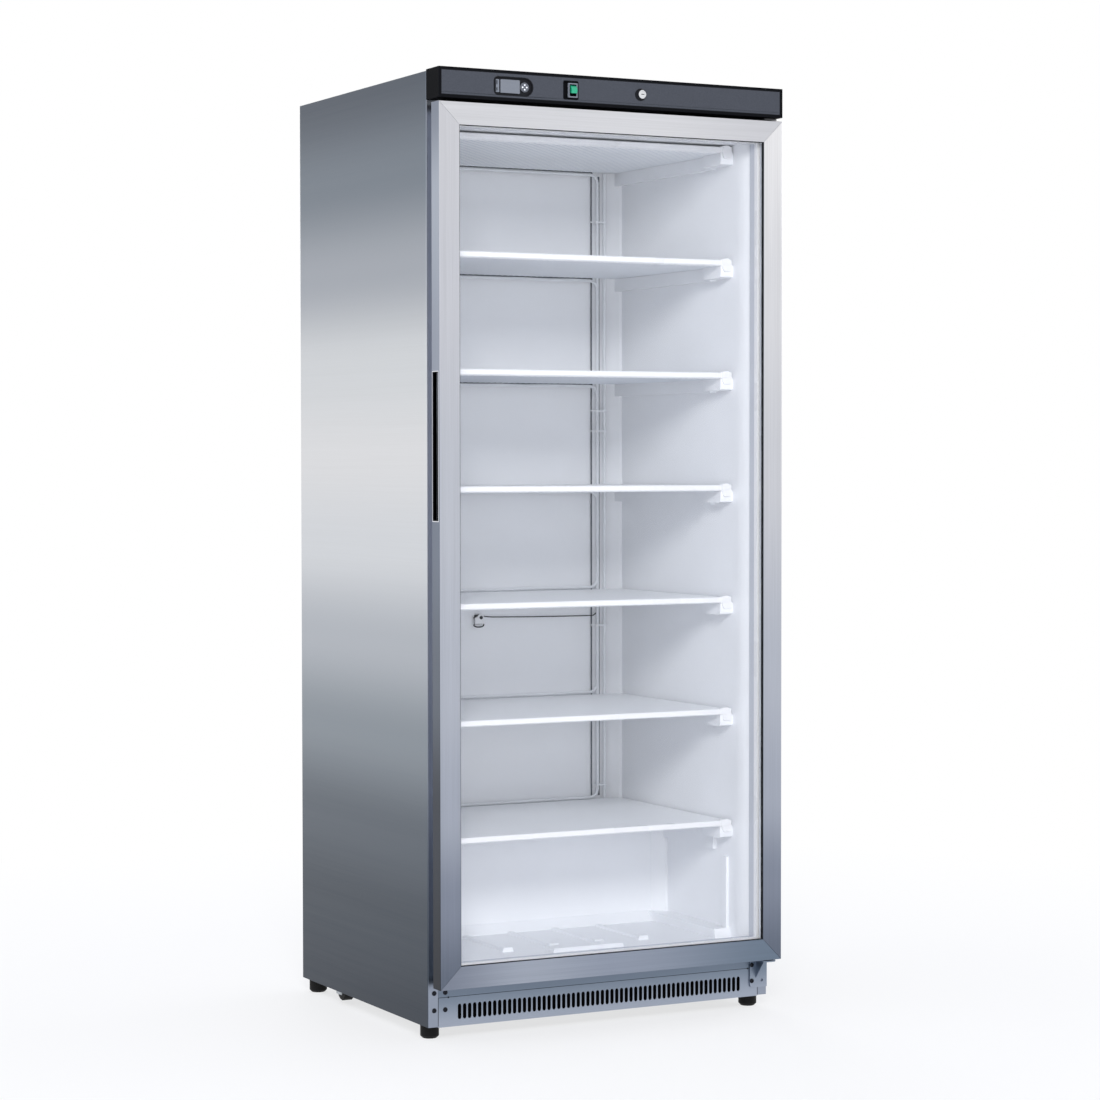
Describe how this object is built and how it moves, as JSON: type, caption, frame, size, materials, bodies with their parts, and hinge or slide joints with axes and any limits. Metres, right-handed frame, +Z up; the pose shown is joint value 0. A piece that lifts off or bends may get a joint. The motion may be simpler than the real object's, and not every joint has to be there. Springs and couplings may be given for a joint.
{
  "type": "upright freezer",
  "caption": "Tall steel cabinet freezer with a framed glass door hung on the right, cold shelves inside, a control header above and a slotted kick panel with levelling feet.",
  "frame": {"origin": "centre of the bounding box at floor level, under the feet", "axes": "+Z up along the cabinet height, which is the longest extent; -Y is the front with the door, +X is the hinge side"},
  "size_m": [0.777, 0.7012, 1.895],
  "materials": {
    "stainless": "satin",
    "door_aluminium": "satin",
    "galvanised": "matte",
    "chrome": "polished",
    "white_enamel": "satin",
    "shelf_white": "satin",
    "white_plastic": "satin",
    "black_plastic": "matte",
    "grey_plastic": "matte",
    "display_grey": "gloss",
    "green_lens": "gloss",
    "foam": "matte",
    "gasket_rubber": "matte",
    "clear_glass": "gloss",
    "black_enamel": "satin"
  },
  "bodies": {
    "cabinet": {"side_panel_left": "stainless", "side_panel_right": "stainless", "top_panel": "stainless", "hinge_bracket_lower": "stainless", "hinge_bracket_upper": "stainless", "kick_grille": "door_aluminium", "rear_panel": "galvanised", "base_frame": "galvanised", "fan_shroud": "galvanised", "lock_barrel": "chrome", "front_frame": "white_enamel", "refrigerant_risers": "white_enamel", "evaporator_shelf_1": "shelf_white", "evaporator_shelf_2": "shelf_white", "evaporator_shelf_3": "shelf_white", "evaporator_shelf_4": "shelf_white", "evaporator_shelf_5": "shelf_white", "evaporator_shelf_6": "shelf_white", "evaporator_shelf_7": "shelf_white", "inner_liner": "white_plastic", "shelf_trim_1": "white_plastic", "shelf_trim_2": "white_plastic", "shelf_trim_3": "white_plastic", "shelf_trim_4": "white_plastic", "shelf_trim_5": "white_plastic", "shelf_trim_6": "white_plastic", "shelf_trim_7": "white_plastic", "header_housing": "black_plastic", "thermostat_body": "black_plastic", "switch_bezel": "black_plastic", "probe_lead": "black_plastic", "header_fascia": "grey_plastic", "thermostat_window": "display_grey", "insulation": "foam", "compressor": "black_enamel", "condenser": "black_enamel"},
    "door": {"door_stile_left": "door_aluminium", "door_stile_right": "door_aluminium", "door_rail_top": "door_aluminium", "door_rail_bottom": "door_aluminium", "door_bush": "black_plastic", "glass_outer": "clear_glass", "glass_inner": "clear_glass", "glass_spacer": "door_aluminium", "door_inner_frame": "white_plastic", "door_gasket": "gasket_rubber", "handle_insert": "black_plastic"},
    "lock_plug": {"lock_plug": "chrome"},
    "switch_rocker": {"switch_rocker": "green_lens"},
    "fan": {"fan_blade": "black_plastic"},
    "roller_left": {"roller_left": "black_plastic"},
    "roller_right": {"roller_right": "black_plastic"},
    "thermostat_button_1": {"thermostat_button_1": "white_plastic"},
    "thermostat_button_2": {"thermostat_button_2": "white_plastic"},
    "thermostat_button_3": {"thermostat_button_3": "white_plastic"},
    "thermostat_button_4": {"thermostat_button_4": "white_plastic"},
    "foot_front_left": {"foot_front_left": "black_plastic"},
    "foot_front_right": {"foot_front_right": "black_plastic"},
    "foot_rear_left": {"foot_rear_left": "black_plastic"},
    "foot_rear_right": {"foot_rear_right": "black_plastic"}
  },
  "joints": [
    {"name": "door_hinge", "type": "hinge", "parent": "cabinet", "child": "door", "pos_m": [0.3665, -0.3234, 0.969], "axis": [0, 0, 1], "range_deg": [0, 120]},
    {"name": "lock_turn", "type": "hinge", "parent": "cabinet", "child": "lock_plug", "pos_m": [0.056, -0.3334, 1.8645], "axis": [0, 1, 0], "range_deg": [0, 90]},
    {"name": "mains_rocker", "type": "hinge", "parent": "cabinet", "child": "switch_rocker", "pos_m": [-0.0945, -0.3346, 1.8645], "axis": [1, 0, 0], "range_deg": [-14, 0]},
    {"name": "fan_spin", "type": "hinge", "parent": "cabinet", "child": "fan", "pos_m": [-0.2, 0.2326, 0.1348], "axis": [1, 0, 0], "continuous": true},
    {"name": "thermostat_key_1", "type": "slide", "parent": "cabinet", "child": "thermostat_button_1", "axis": [0, 1, 0], "range_m": [0, 0.0008], "stiffness_N_per_m": 400},
    {"name": "thermostat_key_2", "type": "slide", "parent": "cabinet", "child": "thermostat_button_2", "axis": [0, 1, 0], "range_m": [0, 0.0008], "stiffness_N_per_m": 400},
    {"name": "thermostat_key_3", "type": "slide", "parent": "cabinet", "child": "thermostat_button_3", "axis": [0, 1, 0], "range_m": [0, 0.0008], "stiffness_N_per_m": 400},
    {"name": "thermostat_key_4", "type": "slide", "parent": "cabinet", "child": "thermostat_button_4", "axis": [0, 1, 0], "range_m": [0, 0.0008], "stiffness_N_per_m": 400},
    {"name": "foot_screw_front_left", "type": "hinge", "parent": "cabinet", "child": "foot_front_left", "pos_m": [-0.3665, -0.2434, 0.02], "axis": [0, 0, 1], "continuous": true},
    {"name": "foot_screw_front_right", "type": "hinge", "parent": "cabinet", "child": "foot_front_right", "pos_m": [0.3665, -0.2434, 0.02], "axis": [0, 0, 1], "continuous": true},
    {"name": "foot_screw_rear_left", "type": "hinge", "parent": "cabinet", "child": "foot_rear_left", "pos_m": [-0.3665, 0.3166, 0.02], "axis": [0, 0, 1], "continuous": true},
    {"name": "foot_screw_rear_right", "type": "hinge", "parent": "cabinet", "child": "foot_rear_right", "pos_m": [0.3665, 0.3166, 0.02], "axis": [0, 0, 1], "continuous": true},
    {"name": "roller_spin_left", "type": "hinge", "parent": "cabinet", "child": "roller_left", "pos_m": [-0.3693, 0.1606, 0.029], "axis": [1, 0, 0], "continuous": true},
    {"name": "roller_spin_right", "type": "hinge", "parent": "cabinet", "child": "roller_right", "pos_m": [0.3693, 0.1606, 0.029], "axis": [1, 0, 0], "continuous": true}
  ]
}
